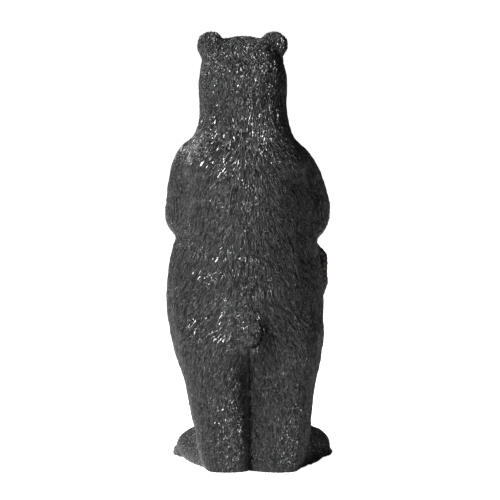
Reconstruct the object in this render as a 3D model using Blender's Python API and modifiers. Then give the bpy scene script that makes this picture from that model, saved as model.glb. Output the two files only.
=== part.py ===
"""Standing black bear garden statue that holds an oval wooden sign in its front paws.

The bear is one casting: trunk, legs, arms, head and tail are swept and rounded masses that are
fused, smoothed and carved with locks of fur. The sign is a slice of log with its bark left on.
Metres, +Z up. The bear faces -Y, and the origin is the centre of its footprint on the floor.
"""

import math

import bmesh
import bpy
import numpy as np
from mathutils import Matrix, Vector
from mathutils.kdtree import KDTree

# Overall size. The figure's pose is given in hundredths of its height.
STATUE_HEIGHT = 0.610
UNIT = STATUE_HEIGHT / 100

# The wooden sign, a real size of its own
SIGN_WIDTH = 0.214
SIGN_HEIGHT = 0.164
SIGN_THICKNESS = 0.016
BARK_WIDTH = 0.008
BARK_RISE = 0.0015
BARK_WAVE = 0.0018
BARK_WAVES = ((5, 0.6, 1.0), (9, 2.1, 0.7), (14, 0.0, 0.5))
BARK_INNER = 1.25
BARK_CREST = 0.35
EDGE_FLAT = 0.55
SIGN_CLEARANCE = 0.0003

# Where the sign's centre stands in the figure's pose: x, back face y and z
SIGN_PLACE = (-1.1, -17.3, 41.9)

# Casting and carving
BODY_VOXEL = 0.0034
BODY_SMOOTHING = 14
DETAIL_VOXEL = 0.0024
DETAIL_SMOOTHING = 3
CASTING_TRIANGLES = 8700
DETAIL_KEPT = 0.00003
LOCK_LENGTH = 0.040
LOCK_WIDTH = 0.015
LOCK_RELIEF = 0.0020
LOCK_SPACING = 0.0125
LOCK_SEED = 7

BLACK_PAINT = (0.028, 0.028, 0.031)
SIGN_BROWN = (0.11, 0.045, 0.035)

# Trunk, neck and skull, from the crotch up: z, centre x, half width, back y, front y
TRUNK = (
    (21.0, -0.3, 12.0, 4.0, -7.5),
    (24.5, -0.1, 14.6, 6.8, -10.2),
    (29.0, 0.2, 16.8, 10.4, -12.8),
    (34.0, 0.6, 17.6, 12.0, -15.1),
    (38.6, 0.8, 17.9, 12.3, -16.5),
    (43.2, 0.8, 17.7, 11.9, -17.4),
    (47.3, 0.7, 17.1, 11.5, -17.5),
    (51.1, 0.4, 16.3, 11.3, -17.2),
    (55.7, 0.4, 15.5, 11.5, -16.5),
    (60.3, 0.4, 15.1, 11.9, -15.7),
    (64.8, 0.6, 14.9, 12.0, -14.7),
    (68.3, 0.8, 14.6, 11.7, -13.8),
    (71.0, 1.0, 13.6, 11.0, -12.8),
    (73.7, 1.1, 12.2, 10.1, -11.8),
    (76.5, 1.1, 10.9, 9.0, -10.8),
    (78.8, 1.1, 10.2, 8.2, -10.2),
    (82.0, 1.2, 9.8, 7.6, -9.8),
    (85.4, 1.3, 9.9, 7.6, -10.2),
    (88.8, 1.3, 10.0, 7.6, -10.4),
    (92.2, 1.4, 9.3, 7.1, -10.0),
    (95.0, 1.4, 8.5, 6.0, -8.6),
    (96.3, 1.4, 7.8, 5.0, -7.2),
    (97.1, 1.4, 6.6, 3.4, -6.0),
    (97.4, 1.4, 4.6, 1.8, -4.2),
)
HEAD_X = 1.4

# Limbs as paths: x, y, z, half width across and half width along the other way
LEFT_LEG = (
    (8.2, 0.0, 31.0, 8.6, 10.8),
    (8.2, 0.2, 26.5, 8.1, 10.2),
    (7.4, 0.4, 22.0, 7.3, 9.5),
    (6.4, 0.6, 13.5, 6.7, 8.2),
    (5.8, 0.7, 10.3, 6.3, 7.7),
    (5.4, 0.8, 5.5, 6.2, 7.1),
    (5.0, 0.8, 1.8, 5.4, 6.6),
    (4.9, 0.8, -1.0, 4.4, 5.6),
)
RIGHT_LEG = (
    (-8.4, 0.0, 31.0, 8.2, 10.8),
    (-8.7, 0.2, 26.0, 7.7, 10.2),
    (-8.1, 0.4, 20.8, 7.1, 9.4),
    (-7.7, 0.6, 13.5, 6.6, 8.2),
    (-7.5, 0.7, 10.3, 6.6, 7.7),
    (-7.0, 0.8, 5.5, 6.4, 7.1),
    (-6.6, 0.8, 1.8, 5.6, 6.6),
    (-6.5, 0.8, -1.0, 4.6, 5.6),
)
LEFT_FOOT = (
    (5.4, 2.0, 2.4, 4.6, 4.0),
    (7.2, -3.5, 3.4, 5.8, 5.2),
    (9.6, -9.8, 3.5, 6.5, 5.0),
    (11.2, -14.6, 2.9, 5.9, 3.7),
)
RIGHT_FOOT = (
    (-7.2, 2.0, 2.6, 4.8, 4.4),
    (-9.0, -3.5, 3.4, 5.9, 5.2),
    (-11.6, -9.8, 3.7, 6.8, 5.0),
    (-13.2, -14.6, 3.0, 6.0, 3.8),
)
LEFT_ARM = (
    (8.4, 0.4, 73.0, 4.0, 4.6),
    (12.0, -0.8, 70.0, 4.7, 5.4),
    (13.6, -2.6, 65.0, 4.6, 5.4),
    (14.3, -4.4, 60.5, 4.4, 5.2),
    (14.7, -6.4, 57.0, 4.3, 4.9),
    (13.4, -10.0, 55.6, 3.8, 4.2),
    (12.0, -14.0, 55.2, 3.5, 3.8),
    (10.4, -18.0, 54.8, 3.6, 3.6),
)
RIGHT_ARM = (
    (-6.2, 0.4, 72.8, 3.8, 4.6),
    (-9.9, -0.8, 69.6, 4.4, 5.4),
    (-12.3, -2.6, 65.0, 4.6, 5.4),
    (-13.7, -4.4, 60.5, 4.6, 5.2),
    (-14.1, -6.4, 57.0, 4.4, 4.8),
    (-13.4, -10.0, 55.2, 3.9, 4.2),
    (-12.2, -14.0, 54.8, 3.5, 3.8),
    (-11.2, -18.0, 54.4, 3.6, 3.6),
)
MUZZLE = (
    (HEAD_X, -6.0, 87.6, 5.8, 5.4),
    (HEAD_X, -9.5, 87.0, 5.0, 4.7),
    (HEAD_X, -12.0, 86.6, 4.2, 4.1),
    (HEAD_X, -14.4, 86.4, 3.6, 3.6),
)
LEG_WEB = (
    (-0.6, 0.4, 28.0, 1.8, 7.6),
    (-0.6, 0.4, 18.0, 1.7, 6.4),
    (-0.7, 0.6, 8.0, 1.6, 5.6),
    (-0.8, 1.0, -1.5, 1.5, 5.0),
)
LEG_SQUARENESS = 0.72
TAIL = (
    (-0.3, 9.6, 37.4, 2.0, 1.8),
    (-0.4, 11.0, 34.6, 3.1, 2.8),
    (-0.5, 12.2, 32.0, 3.4, 3.3),
    (-0.4, 12.8, 30.2, 2.9, 2.9),
)

# Rounded masses: centre, then radii
HAUNCHES = (
    ((9.0, -1.0, 31.0), (8.6, 9.6, 11.0)),
    ((-8.8, -1.0, 31.0), (8.4, 9.6, 11.0)),
    ((6.4, 5.2, 31.0), (7.4, 6.4, 9.5)),
    ((-6.8, 5.2, 31.0), (7.4, 6.4, 9.5)),
)
SHOULDERS = (
    ((7.8, 4.4, 69.6), (6.8, 5.8, 6.4)),
    ((-6.0, 4.4, 69.6), (6.8, 5.8, 6.4)),
    ((0.6, -7.5, 66.0), (10.5, 7.6, 9.5)),
)
HEAD_MASSES = (
    ((HEAD_X + 4.8, -4.4, 86.8), (5.2, 5.8, 6.0)),
    ((HEAD_X - 4.8, -4.4, 86.8), (5.2, 5.8, 6.0)),
    ((HEAD_X, -5.4, 92.6), (6.8, 5.4, 5.0)),
    ((HEAD_X, -11.8, 83.3), (3.0, 3.8, 2.1)),
    ((HEAD_X, -8.4, 83.6), (4.6, 5.0, 3.4)),
)
BROW = (4.1, -9.1, 92.8)
BROW_RADII = (2.6, 1.7, 1.1)
BROW_TURN = -6
EYE = (3.8, -10.5, 90.9)
EYE_RADIUS = 1.15
NOSE = ((HEAD_X, -17.0, 88.2), (2.4, 1.5, 1.7))
EAR_OFFSET = 7.1
EAR_DISC = ((-0.6, 96.3), (3.3, 1.8, 3.3))
EAR_ROOT = ((-0.6, 94.2), (2.9, 2.0, 3.1))
EAR_ROOT_INSET = 0.7
EAR_ROOT_TURN = 14

# Creases pressed into the back: the line through the pose, then half widths and depth of the dent
ARM_CREASES = (
    ((11.4, 6.5, 67.2), (13.4, 4.0, 65.0), (14.6, 2.0, 61.5), (15.2, 1.0, 57.5), (16.0, 0.0, 54.5)),
    ((-9.6, 6.5, 67.2), (-11.8, 4.0, 65.0), (-13.4, 2.0, 61.5), (-14.6, 1.0, 57.5), (-15.6, 0.0, 54.5)),
)
ARM_CREASE_SHAPE = ((3.2, 6.5, 3.2), 0.22)
LEG_CREASE = ((-0.2, 9.0, 28.5), (-0.3, 8.5, 20.0), (-0.4, 8.0, 10.0), (-0.4, 7.5, 0.0))
LEG_CREASE_SHAPE = ((1.6, 5.0, 2.2), 0.36)
CREASE_STEP = 0.005
FLOOR_BLOCK = (80, 80, 10)

# Toes and claws
FOOT_TOES = 5
TOE_RADIUS = 1.5
TOE_STRETCH = 1.25
TOE_SPREAD = 8.8
TOE_REACH = 1.9
TOE_ARC = 5.2
PAW_TOES = 5
PAW_BACK = 0.9
PAW_DROP = 0.6
FINGER_RADIUS = 1.15
FINGER_SPREAD = 6.4
FINGER_FORWARD = 1.6
FINGER_DROP = 1.6
FINGER_ARC = 2.2
PAW_RADII = (3.9, 4.0, 3.7)
CLAW_LENGTH = 2.4
CLAW_RADIUS = 0.75
CLAW_BEND = 0.16
CLAW_TAPER = 0.5

# How the fur is combed: a place in the pose, then the way the hair lies there
COMB = (
    ((1.4, -19.0, 88.0), (0, 0.6, 0.8)),
    ((1.4, -13.0, 91.0), (0, 0.8, 0.6)),
    ((1.4, -8.0, 96.0), (0, 1, 0.5)),
    ((1.4, 0.0, 99.0), (0, 1, 0)),
    ((1.4, 7.0, 92.0), (0, 0.2, -1)),
    ((9.5, -6.0, 88.0), (0.5, 0.8, -0.6)),
    ((10.5, 0.0, 85.0), (0.1, 0.4, -1)),
    ((1.4, -12.0, 83.0), (0, 0.8, -0.6)),
    ((1.0, 8.0, 78.0), (0, 0.2, -1)),
    ((9.0, 6.0, 74.0), (0.75, 0, -1)),
    ((0.6, 12.0, 62.0), (0, 0, -1)),
    ((8.0, 11.0, 62.0), (0.75, 0, -1)),
    ((0.6, 12.0, 46.0), (0, 0, -1)),
    ((9.0, 10.0, 48.0), (0.8, 0, -1)),
    ((15.0, 0.0, 45.0), (0.2, -0.4, -1)),
    ((9.0, 10.0, 36.0), (0.7, 0, -1)),
    ((17.0, 0.0, 33.0), (0, -0.3, -1)),
    ((6.0, 9.0, 22.0), (0.2, 0, -1)),
    ((14.0, 0.0, 15.0), (-0.1, -0.2, -1)),
    ((5.0, 8.0, 8.0), (0.1, 0, -1)),
    ((9.0, -4.0, 8.0), (0.3, -1, -0.6)),
    ((6.0, -10.0, 20.0), (0, -0.2, -1)),
    ((0.8, -17.0, 40.0), (0, 0, -1)),
    ((10.0, -12.0, 35.0), (-0.3, 0, -1)),
    ((0.8, -15.0, 68.0), (0, 0, -1)),
    ((14.0, 1.0, 70.0), (0.5, -0.2, -1)),
    ((18.0, -1.0, 62.0), (0, -0.2, -1)),
    ((18.0, -5.0, 56.0), (0, -0.9, -0.5)),
    ((13.0, -13.0, 56.0), (-0.3, -1, -0.2)),
)


def place(point):
    """A point of the pose as a place in metres."""
    return Vector(point) * UNIT


def smooth_path(rows, spacing=0.006):
    """Rows of numbers made closer by a Catmull-Rom curve through them."""
    points = np.array(rows, float)
    padded = np.vstack((2 * points[0] - points[1], points, 2 * points[-1] - points[-2]))
    finer = []
    for before, start, end, after in zip(padded, padded[1:], padded[2:], padded[3:]):
        length = np.linalg.norm(end[:3] - start[:3])
        for t in np.arange(0, 1, 1 / max(1, math.ceil(length / spacing))):
            finer.append(
                start
                + 0.5 * t * (end - before)
                + t * t * (before - 2.5 * start + 2 * end - 0.5 * after)
                + 0.5 * t**3 * (3 * start - 3 * end + after - before)
            )
    finer.append(points[-1])
    return np.array(finer)


def new_object(name, build, collection):
    """A mesh object whose bmesh is filled in by the function build."""
    data = bmesh.new()
    build(data)
    mesh = bpy.data.meshes.new(name)
    data.to_mesh(mesh)
    data.free()
    obj = bpy.data.objects.new(name, mesh)
    collection.objects.link(obj)
    return obj


def squared(share, squareness):
    """A sine or cosine pushed outwards, which makes a circle squarer."""
    return math.copysign(abs(share) ** squareness, share)


def sweep(name, rows, collection, sides=28, dome=1.0, squareness=1.0):
    """A limb lofted through sections: x, y, z and two half widths.

    dome rounds its ends. A squareness below 1 turns the oval sections into rounded squares."""
    path = smooth_path(np.array(rows, float) * UNIT)

    def build(data):
        rings = []
        along = np.gradient(path[:, :3], axis=0)
        stations = list(zip(path, along))
        ends = [
            [(path[i], along[i], way * math.sin(a), math.cos(a)) for a in np.radians((68, 45, 22))]
            for i, way in ((0, -1), (-1, 1))
        ]
        rows_with_caps = ends[0] + [(p, t, 0, 1) for p, t in stations] + ends[1][::-1]
        for row, tangent, offset, shrink in rows_with_caps:
            forward = Vector(tangent).normalized()
            across = (Vector((1, 0, 0)) - forward * forward.x).normalized()
            other = forward.cross(across)
            middle = Vector(row[:3]) + forward * offset * dome * min(row[3], row[4])
            ring = []
            for k in range(sides):
                a = 2 * math.pi * k / sides
                reach = across * (row[3] * squared(math.cos(a), squareness))
                reach += other * (row[4] * squared(math.sin(a), squareness))
                ring.append(data.verts.new(middle + reach * shrink))
            rings.append(ring)
        for low, high in zip(rings, rings[1:]):
            for k in range(sides):
                data.faces.new((low[k - 1], low[k], high[k], high[k - 1]))
        data.faces.new(rings[0][::-1])
        data.faces.new(rings[-1])
        bmesh.ops.recalc_face_normals(data, faces=data.faces)

    return new_object(name, build, collection)


def ball(name, centre, radii, collection, turn=0.0):
    """An egg-shaped mass at a place in the pose. turn tips it about the Y axis, in degrees."""
    def build(data):
        bmesh.ops.create_uvsphere(data, u_segments=28, v_segments=18, radius=1)
        shape = Matrix.Rotation(math.radians(turn), 4, "Y") @ Matrix.Diagonal((*radii, 1))
        data.transform(Matrix.Scale(UNIT, 4) @ Matrix.Translation(centre) @ shape)

    return new_object(name, build, collection)


def claw(name, root, tip, collection):
    """A curved claw from root to tip, given in the pose."""
    start, end = Vector(root), Vector(tip)
    bend = Vector((0, 0, CLAW_BEND * (end - start).length))
    rows = []
    for t in (0.0, 0.35, 0.7, 1.0):
        middle = start.lerp(end, t) + bend * math.sin(math.pi * t)
        radius = CLAW_RADIUS * (1 - CLAW_TAPER * t)
        rows.append((*middle, radius, radius))
    return sweep(name, rows, collection, sides=12)


def remeshed(name, sources, voxel, smoothing, collection):
    """The sources fused into one closed skin, smoothed. The sources are removed."""
    joined = bmesh.new()
    for source in sources:
        joined.from_mesh(source.data)
        bpy.data.objects.remove(source)
    fused = new_object(name, lambda data: None, collection)
    joined.to_mesh(fused.data)
    joined.free()
    remesh = fused.modifiers.new("fuse", "REMESH")
    remesh.mode = "VOXEL"
    remesh.voxel_size = voxel
    smooth = fused.modifiers.new("smooth", "SMOOTH")
    smooth.iterations = smoothing
    return apply_modifiers(fused)


def apply_modifiers(obj):
    """The object with its modifiers made part of its mesh."""
    graph = bpy.context.evaluated_depsgraph_get()
    mesh = bpy.data.meshes.new_from_object(obj.evaluated_get(graph))
    obj.modifiers.clear()
    old = obj.data
    obj.data = mesh
    bpy.data.meshes.remove(old)
    mesh.name = obj.name
    return obj


def body_masses(collection):
    """The big masses of the figure, before they are fused."""
    trunk = [(x, (back + front) / 2, z, half, (back - front) / 2) for z, x, half, back, front in TRUNK]
    paths = {
        "left_leg": LEFT_LEG,
        "right_leg": RIGHT_LEG,
        "left_foot": LEFT_FOOT,
        "right_foot": RIGHT_FOOT,
        "left_arm": LEFT_ARM,
        "right_arm": RIGHT_ARM,
        "leg_web": LEG_WEB,
    }
    masses = [sweep("trunk", trunk, collection, dome=0.1)]
    for name, rows in paths.items():
        squareness = LEG_SQUARENESS if name.endswith("_leg") else 1.0
        masses.append(sweep(name, rows, collection, squareness=squareness))
    for centre, radii in HAUNCHES + SHOULDERS + HEAD_MASSES:
        masses.append(ball("mass", centre, radii, collection))
    return masses


def head_details(collection):
    """Muzzle, nose, brows, eyes and ears."""
    parts = [sweep("muzzle", MUZZLE, collection), ball("nose", *NOSE, collection)]
    (disc_y, disc_z), disc_radii = EAR_DISC
    (root_y, root_z), root_radii = EAR_ROOT
    for side in (-1, 1):
        brow = (HEAD_X + side * BROW[0], *BROW[1:])
        parts.append(ball("brow", brow, BROW_RADII, collection, side * BROW_TURN))
        eye = (HEAD_X + side * EYE[0], *EYE[1:])
        parts.append(ball("eye", eye, (EYE_RADIUS,) * 3, collection))
        x = HEAD_X + side * EAR_OFFSET
        parts.append(ball("ear", (x, disc_y, disc_z), disc_radii, collection))
        root = (x - side * EAR_ROOT_INSET, root_y, root_z)
        parts.append(ball("ear_root", root, root_radii, collection, -side * EAR_ROOT_TURN))
    return parts


def foot_details(rows, collection):
    """Five toes with claws along the front edge of one foot."""
    heel, tip = Vector(rows[0][:3]), Vector(rows[-1][:3])
    forward = Vector((tip.x - heel.x, tip.y - heel.y, 0)).normalized()
    across = Vector((-forward.y, forward.x, 0))
    parts = []
    for k in range(FOOT_TOES):
        share = k / (FOOT_TOES - 1) - 0.5
        reach = TOE_REACH - TOE_ARC * share * share
        toe = tip + across * (TOE_SPREAD * share) + forward * reach
        toe.z = TOE_RADIUS
        parts.append(ball("toe", toe, (TOE_RADIUS, TOE_RADIUS * TOE_STRETCH, TOE_RADIUS), collection))
        root = toe + forward * (TOE_RADIUS * 0.6)
        root.z += 0.25 * TOE_RADIUS
        end = root + forward * CLAW_LENGTH
        end.z = CLAW_RADIUS * 0.7
        parts.append(claw("claw", root, end, collection))
    return parts


def sign_front():
    """How far forward the sign's front face stands, in the pose."""
    return SIGN_PLACE[1] - (SIGN_THICKNESS + BARK_RISE) / UNIT


def paw_details(rows, collection):
    """A front paw that closes over the sign's top edge, its fingers and claws down the front face."""
    wrist = Vector(rows[-1][:3])
    middle = Vector((wrist.x, sign_front() + PAW_BACK, wrist.z - PAW_DROP))
    parts = [ball("paw", middle, PAW_RADII, collection)]
    side = math.copysign(1, wrist.x)
    for k in range(PAW_TOES):
        share = k / (PAW_TOES - 1) - 0.5
        x = middle.x + FINGER_SPREAD * share
        drop = FINGER_DROP - FINGER_ARC * (0.25 - share * share)
        knuckle = Vector((x, sign_front() - FINGER_FORWARD, middle.z - drop))
        finger = (FINGER_RADIUS, FINGER_RADIUS, FINGER_RADIUS * 1.5)
        parts.append(ball("finger", knuckle, finger, collection))
        root = knuckle + Vector((0, -0.3, -1.0))
        end = knuckle + Vector((-side * 0.3, 0.9, -1.0 - CLAW_LENGTH))
        parts.append(claw("claw", root, end, collection))
    return parts


def coordinates(mesh):
    """A mesh's points and point normals as arrays."""
    count = len(mesh.vertices)
    points = np.empty(count * 3)
    normals = np.empty(count * 3)
    mesh.vertices.foreach_get("co", points)
    mesh.vertices.foreach_get("normal", normals)
    return points.reshape(-1, 3), normals.reshape(-1, 3)


def combed(points, normals):
    """The way the fur lies at each point, along the surface."""
    guides = np.array([spot for spot, _ in COMB]) * UNIT
    ways = np.array([way for _, way in COMB], float)
    ways /= np.linalg.norm(ways, axis=1)[:, None]
    side = np.where(points[:, 0] < HEAD_X * UNIT * np.clip(points[:, 2] / STATUE_HEIGHT, 0, 1), -1, 1)
    folded = points * np.stack((side, np.ones(len(side)), np.ones(len(side))), 1)
    gaps = np.linalg.norm(folded[:, None, :] - guides[None], axis=2)
    weights = 1 / (gaps**4 + (2 * UNIT) ** 4)
    flow = weights @ ways / weights.sum(1)[:, None]
    flow[:, 0] *= side
    flow -= normals * (flow * normals).sum(1)[:, None]
    return flow / np.maximum(np.linalg.norm(flow, axis=1), 1e-9)[:, None]


def scattered(points, spacing, seed):
    """About one point in each cell of a grid, picked at random."""
    order = np.random.default_rng(seed).permutation(len(points))
    cells = np.floor(points[order] / spacing).astype(int)
    _, first = np.unique(cells, axis=0, return_index=True)
    return order[first]


def smooth_patches(points):
    """0 on what stays bare of fur: nose, eyes, toes and claws. 1 elsewhere."""
    bare = [(Vector(NOSE[0]), 3.0)]
    bare += [(Vector((HEAD_X + side * EYE[0], *EYE[1:])), 1.8) for side in (-1, 1)]
    for rows in (LEFT_FOOT, RIGHT_FOOT):
        toe_line = Vector(rows[-1][:3])
        bare.append((Vector((toe_line.x, toe_line.y - 3.0, 1.0)), 6.5))
    for rows in (LEFT_ARM, RIGHT_ARM):
        wrist = Vector(rows[-1][:3])
        bare.append((Vector((wrist.x, sign_front() - 1.5, wrist.z - 4.0)), 4.4))
    keep = np.ones(len(points))
    for middle, radius in bare:
        gap = np.linalg.norm(points / UNIT - np.array(middle), axis=1) / radius
        keep = np.minimum(keep, np.clip(gap * 2 - 1.4, 0, 1))
    return keep


def carve_locks(casting):
    """Presses overlapping locks of fur into the skin, each thick at its tip and thin at its root."""
    points, normals = coordinates(casting.data)
    seeds = scattered(points, LOCK_SPACING, LOCK_SEED)
    flow = combed(points[seeds], normals[seeds])
    tree = KDTree(len(points))
    for index, point in enumerate(points):
        tree.insert(point, index)
    tree.balance()
    relief = np.zeros(len(points))
    for seed, way in zip(seeds, flow):
        across = np.cross(normals[seed], way)
        near = np.array([index for _, index, _ in tree.find_range(points[seed], LOCK_LENGTH / 2)])
        offset = points[near] - points[seed]
        along = offset @ way / (LOCK_LENGTH / 2)
        facing = normals[near] @ normals[seed] > 0.3
        half_width = LOCK_WIDTH / 2 * np.sqrt(np.clip(1 - along**2, 0.01, 1))
        ridge = np.clip(1 - (offset @ across / half_width) ** 2, 0, 1)
        swell = np.clip((along + 1) / 1.5, 0, 1) * np.clip((1 - along) / 0.25, 0, 1)
        relief[near] = np.maximum(relief[near], ridge * swell * facing)
    lift = (relief - 0.5) * LOCK_RELIEF * smooth_patches(points)
    moved = points + normals * lift[:, None]
    casting.data.vertices.foreach_set("co", moved.ravel())


def hollow(points, centre, radii, depth):
    """Presses a rounded dent into the skin around a place in the pose. depth points inwards."""
    reach = (points / UNIT - np.array(centre)) / np.array(radii)
    share = np.clip(1 - (reach**2).sum(1), 0, 1)
    points += share[:, None] * np.array(depth)[None] * UNIT


def carve_creases(casting):
    """The dark lines between each arm and the back, and between the legs."""
    points, _ = coordinates(casting.data)
    lines = [(line, ARM_CREASE_SHAPE) for line in ARM_CREASES] + [(LEG_CREASE, LEG_CREASE_SHAPE)]
    for line, (radii, depth) in lines:
        for spot in smooth_path([(x * UNIT, y * UNIT, z * UNIT) for x, y, z in line], CREASE_STEP):
            hollow(points, spot / UNIT, radii, (0, -depth, 0))
    casting.data.vertices.foreach_set("co", points.ravel())


def carve_face(casting):
    """Ear cups, eye sockets, nostrils and the line of the mouth."""
    points, _ = coordinates(casting.data)
    for side in (-1, 1):
        ear = (HEAD_X + side * EAR_OFFSET, -2.2, EAR_DISC[0][1] + 0.1)
        hollow(points, ear, (2.2, 1.6, 2.6), (0, 1.2, 0))
        for turn in range(0, 360, 30):
            x = EYE[0] + 1.35 * EYE_RADIUS * math.cos(math.radians(turn))
            z = EYE[2] + 1.35 * EYE_RADIUS * math.sin(math.radians(turn))
            hollow(points, (HEAD_X + side * x, EYE[1] - 0.1, z), (0.6, 1.4, 0.6), (0, 0.35, 0))
        nostril = (HEAD_X + side * 1.15, NOSE[0][1] - 1.2, NOSE[0][2] - 0.2)
        hollow(points, nostril, (0.75, 1.0, 0.65), (0, 0.9, 0))
        for step in range(9):
            t = step / 8
            corner = (HEAD_X + side * (1.2 + 3.4 * t**0.7), NOSE[0][1] - 0.6 + 7.0 * t, 84.7 + 0.6 * t)
            hollow(points, corner, (0.9, 1.2, 0.5), (-side * 0.25, 0.3, 0))
    casting.data.vertices.foreach_set("co", points.ravel())


def sign_outline(angle, margin):
    """How far the sign's edge is from its centre at an angle: an oval with the waves of bark."""
    width, height = SIGN_WIDTH / 2 + margin, SIGN_HEIGHT / 2 + margin
    oval = Vector((width * math.cos(angle), height * math.sin(angle)))
    waves = sum(share * math.sin(count * angle + turn) for count, turn, share in BARK_WAVES)
    return oval * (1 + BARK_WAVE * waves / oval.length)


def sign_blank(name, margin, collection, sides=56):
    """The slice of log, or with a margin the space that it takes in the casting.

    Each ring is a share of the outline and a place through the thickness: the front face, the raised
    bark round the edge, and the back face."""
    half = SIGN_THICKNESS / 2
    bark = 2 * BARK_WIDTH / SIGN_WIDTH
    rings = (
        (1 - BARK_INNER * bark, -half - margin),
        (1 - bark, -half - BARK_RISE - margin),
        (1 - BARK_CREST * bark, -half - BARK_RISE - margin),
        (1, -EDGE_FLAT * half),
        (1, EDGE_FLAT * half),
        (1 - BARK_CREST * bark, half + BARK_RISE + margin),
        (1 - bark, half + BARK_RISE + margin),
        (1 - BARK_INNER * bark, half + margin),
    )
    middle = place(SIGN_PLACE) - Vector((0, half + BARK_RISE, 0))

    def build(data):
        loops = []
        for share, depth in rings:
            loop = []
            for k in range(sides):
                edge = sign_outline(2 * math.pi * k / sides, margin)
                loop.append(data.verts.new(middle + Vector((share * edge.x, depth, share * edge.y))))
            loops.append(loop)
        for low, high in zip(loops, loops[1:]):
            for k in range(sides):
                data.faces.new((low[k - 1], low[k], high[k], high[k - 1]))
        for loop, depth in ((loops[0], rings[0][1]), (loops[-1], rings[-1][1])):
            centre = data.verts.new(middle + Vector((0, depth, 0)))
            for k in range(sides):
                data.faces.new((loop[k - 1], loop[k], centre))
        bmesh.ops.recalc_face_normals(data, faces=data.faces)

    return new_object(name, build, collection)


def cut(obj, cutter):
    """Takes the cutter's shape out of the object."""
    boolean = obj.modifiers.new("cut", "BOOLEAN")
    boolean.operation = "DIFFERENCE"
    boolean.object = cutter
    cutter.hide_render = True
    cutter.display_type = "WIRE"


def floor_block(collection):
    """Everything below the floor, which is cut off so that the soles are flat."""
    def build(data):
        bmesh.ops.create_cube(data, size=1)
        data.transform(Matrix.Diagonal((*FLOOR_BLOCK, 1)))
        data.transform(Matrix.Scale(UNIT, 4) @ Matrix.Translation((0, 0, -FLOOR_BLOCK[2] / 2)))

    return new_object("below_floor", build, collection)


def painted(obj, name, colour, roughness):
    """Gives the object one plain paint."""
    material = bpy.data.materials.new(name)
    material.use_nodes = True
    shader = material.node_tree.nodes["Principled BSDF"]
    shader.inputs["Base Color"].default_value = (*colour, 1)
    shader.inputs["Roughness"].default_value = roughness
    shader.inputs["Metallic"].default_value = 0.0
    obj.data.materials.clear()
    obj.data.materials.append(material)


def mark_details(casting):
    """Weights the skin for fewer triangles: low on the face, paws and toes, 1 elsewhere."""
    points, _ = coordinates(casting.data)
    weight = np.ones(len(points))
    for middle, radius in detail_zones():
        gap = np.linalg.norm(points / UNIT - np.array(middle), axis=1) / radius
        weight = np.minimum(weight, np.clip(gap * 3 - 2, 0.25, 1))
    plain = casting.vertex_groups.new(name="plain")
    for level in range(1, 5):
        chosen = np.nonzero(np.round(weight * 4) == level)[0]
        plain.add(chosen.tolist(), level / 4, "REPLACE")


def detail_zones():
    """Centres and radii of the balls that hold the face, ears, paws and toes."""
    zones = [((HEAD_X, -13.0, 88.0), 8.0)]
    zones += [((HEAD_X + side * EAR_OFFSET, -0.6, 97.0), 4.0) for side in (-1, 1)]
    for rows in (LEFT_FOOT, RIGHT_FOOT):
        zones.append(((rows[-1][0], rows[-1][1] - 3.5, 1.5), 6.5))
    for rows in (LEFT_ARM, RIGHT_ARM):
        zones.append(((rows[-1][0], sign_front(), rows[-1][2] - 2.0), 5.5))
    return zones


def casting_of_bear(collection):
    """The whole figure as one closed skin of about CASTING_TRIANGLES triangles."""
    body = remeshed("body", body_masses(collection), BODY_VOXEL, BODY_SMOOTHING, collection)
    details = head_details(collection)
    details.append(sweep("tail", TAIL, collection))
    for rows in (LEFT_FOOT, RIGHT_FOOT):
        details += foot_details(rows, collection)
    for rows in (LEFT_ARM, RIGHT_ARM):
        details += paw_details(rows, collection)
    casting = remeshed("bear", [body, *details], DETAIL_VOXEL, DETAIL_SMOOTHING, collection)
    casting.name = "bear"
    carve_creases(casting)
    carve_locks(casting)
    carve_face(casting)
    mark_details(casting)
    faces = casting.modifiers.new("fewer", "DECIMATE")
    faces.ratio = CASTING_TRIANGLES / (2 * len(casting.data.polygons))
    faces.vertex_group = "plain"
    faces.vertex_group_factor = DETAIL_KEPT
    return apply_modifiers(casting)


def centre_on_origin(objects):
    """Moves everything so that the figure and its sign stand centred on the origin."""
    graph = bpy.context.evaluated_depsgraph_get()
    corners = []
    for obj in objects:
        corners += [Vector(corner) for corner in obj.evaluated_get(graph).bound_box]
    low = [min(corner[i] for corner in corners) for i in range(2)]
    high = [max(corner[i] for corner in corners) for i in range(2)]
    shift = Vector((-(low[0] + high[0]) / 2, -(low[1] + high[1]) / 2, 0))
    for obj in bpy.data.objects:
        obj.data.transform(Matrix.Translation(shift))


def main():
    for obj in list(bpy.data.objects):
        bpy.data.objects.remove(obj)
    statue = bpy.data.collections.new("bear_garden_statue")
    cutters = bpy.data.collections.new("cutters")
    for collection in (statue, cutters):
        bpy.context.scene.collection.children.link(collection)
    bear = casting_of_bear(statue)
    sign = sign_blank("wooden_sign", 0, statue)
    cut(bear, floor_block(cutters))
    cut(bear, sign_blank("sign_space", SIGN_CLEARANCE, cutters))
    painted(bear, "black_paint", BLACK_PAINT, 0.55)
    painted(sign, "sign_paint", SIGN_BROWN, 0.6)
    centre_on_origin((bear, sign))


main()
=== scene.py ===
"""Black bear garden statue, seen from behind: a painted casting with carved fur and a wooden sign."""
import math

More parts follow.
